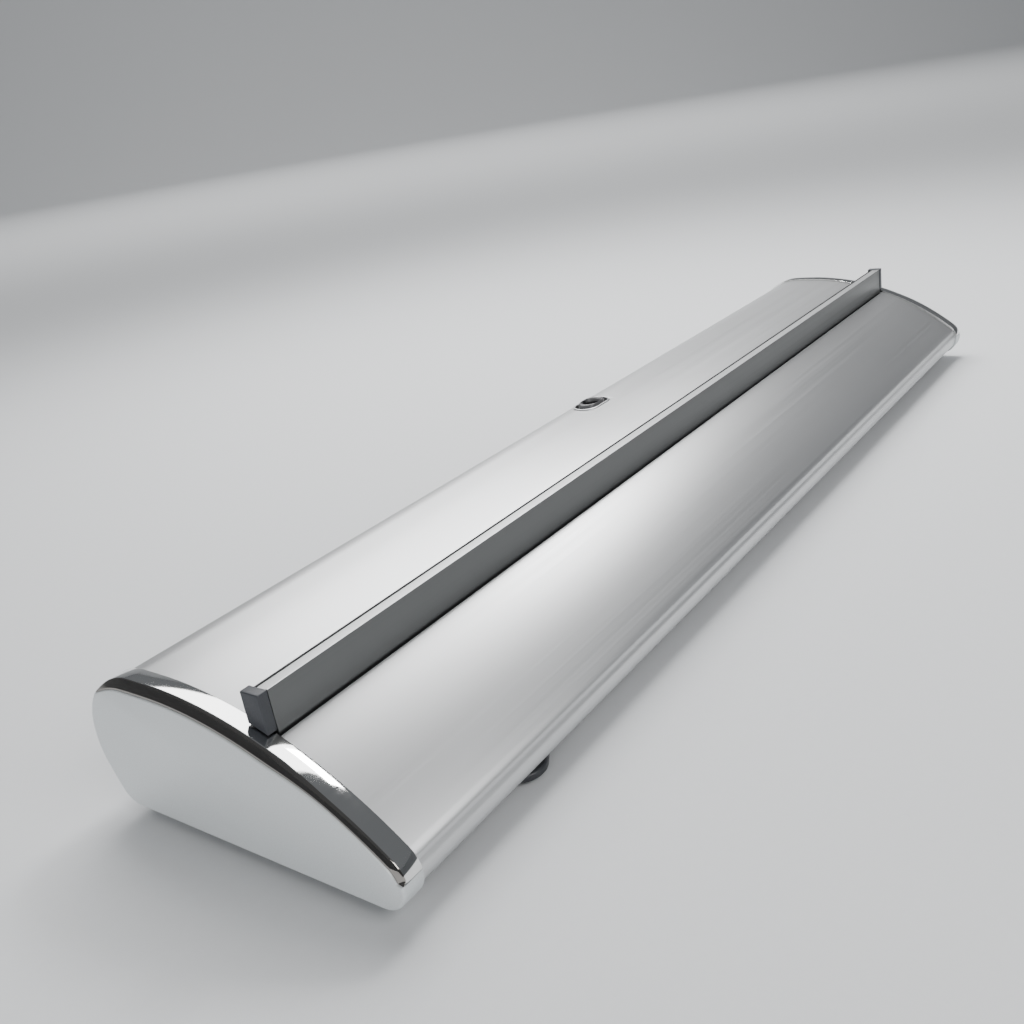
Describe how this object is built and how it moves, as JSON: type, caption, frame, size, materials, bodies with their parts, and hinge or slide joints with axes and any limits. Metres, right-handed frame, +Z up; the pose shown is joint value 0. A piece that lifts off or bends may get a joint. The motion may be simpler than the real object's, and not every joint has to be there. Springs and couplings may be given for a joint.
{
  "type": "roll-up banner stand",
  "caption": "Closed roll-up banner stand: wing-shaped aluminium casing with a clamp rail in its top slot, chromed end trims, a pole socket and swing-out feet.",
  "frame": {"origin": "on the ground under the middle of the casing, at the centre of the bounding box's bottom", "axes": "+X along the casing towards the right end, +Y to the rear, +Z up"},
  "size_m": [0.888, 0.2103, 0.0949],
  "materials": {
    "satin_aluminium": "satin silver anodised, fine extrusion lines",
    "rail_aluminium": "darker satin anodised, fine lines along the length",
    "silver_cap": "satin silver moulding",
    "chrome_trim": "polished",
    "steel": "zinc plated",
    "spring_steel": "oiled",
    "slate_plastic": "fine moulded texture",
    "black_plastic": "moulded",
    "black_rubber": "matte",
    "foot_paint": "satin powder coat",
    "banner_film": "satin film"
  },
  "bodies": {
    "casing": {"casing_front": "satin_aluminium", "casing_rear": "satin_aluminium", "base_plate": "satin_aluminium", "end_frame_left": "steel", "end_cap_left": "silver_cap", "chrome_trim_left": "chrome_trim", "end_screw_left_1": "steel", "end_screw_left_2": "steel", "end_screw_left_3": "steel", "end_screw_left_4": "steel", "end_screw_left_5": "steel", "end_frame_right": "steel", "end_cap_right": "silver_cap", "chrome_trim_right": "chrome_trim", "end_screw_right_1": "steel", "end_screw_right_2": "steel", "end_screw_right_3": "steel", "end_screw_right_4": "steel", "end_screw_right_5": "steel", "slot_seal_front": "black_rubber", "slot_brush_rear": "black_rubber", "socket_bezel": "satin_aluminium", "pole_socket": "slate_plastic", "roller_bush_left": "slate_plastic", "roller_bush_right": "slate_plastic", "spring_arbor": "steel", "axle_pin": "steel", "foot_pivot_left": "steel", "foot_washer_left": "black_plastic", "pivot_nut_left": "steel", "foot_pivot_right": "steel", "foot_washer_right": "black_plastic", "pivot_nut_right": "steel", "rubber_foot_front_left": "black_rubber", "rubber_foot_front_right": "black_rubber", "rubber_foot_rear_left": "black_rubber", "rubber_foot_rear_right": "black_rubber"},
    "roller": {"roller_tube": "steel", "banner_roll": "banner_film", "roller_plug_left": "black_plastic", "roller_plug_right": "black_plastic", "torsion_spring": "spring_steel"},
    "clamp_rail": {"rail_front_jaw": "rail_aluminium", "rail_hinge_strip": "black_rubber", "rail_cap_left": "slate_plastic", "rail_cap_right": "slate_plastic", "banner_web": "banner_film"},
    "rail_jaw": {"rail_rear_jaw": "rail_aluminium"},
    "left_foot": {"swing_foot_left": "foot_paint", "foot_pad_left_outer": "black_rubber", "foot_pad_left_inner": "black_rubber"},
    "right_foot": {"swing_foot_right": "foot_paint", "foot_pad_right_outer": "black_rubber", "foot_pad_right_inner": "black_rubber"}
  },
  "joints": [
    {"name": "rail_lift", "type": "slide", "parent": "casing", "child": "clamp_rail", "axis": [0, 0, 1], "range_m": [0, 2], "stiffness_N_per_m": 3, "springref_m": -2},
    {"name": "roller_spin", "type": "hinge", "parent": "casing", "child": "roller", "pos_m": [0, 0.0015, 0.04], "axis": [-1, 0, 0], "range_deg": [0, 5000]},
    {"name": "rail_snap", "type": "hinge", "parent": "clamp_rail", "child": "rail_jaw", "pos_m": [0, -0.0211, 0.091], "axis": [1, 0, 0], "range_deg": [0, 50]},
    {"name": "left_foot_swing", "type": "hinge", "parent": "casing", "child": "left_foot", "pos_m": [-0.2135, -0.0155, 0.0044], "axis": [0, 0, 1], "range_deg": [-30, 60]},
    {"name": "right_foot_swing", "type": "hinge", "parent": "casing", "child": "right_foot", "pos_m": [0.2135, -0.0155, 0.0044], "axis": [0, 0, -1], "range_deg": [0, 90]}
  ],
  "couplings": [
    {"joint": "roller_spin", "follows": "rail_lift", "rad_per_m": 43.478}
  ]
}
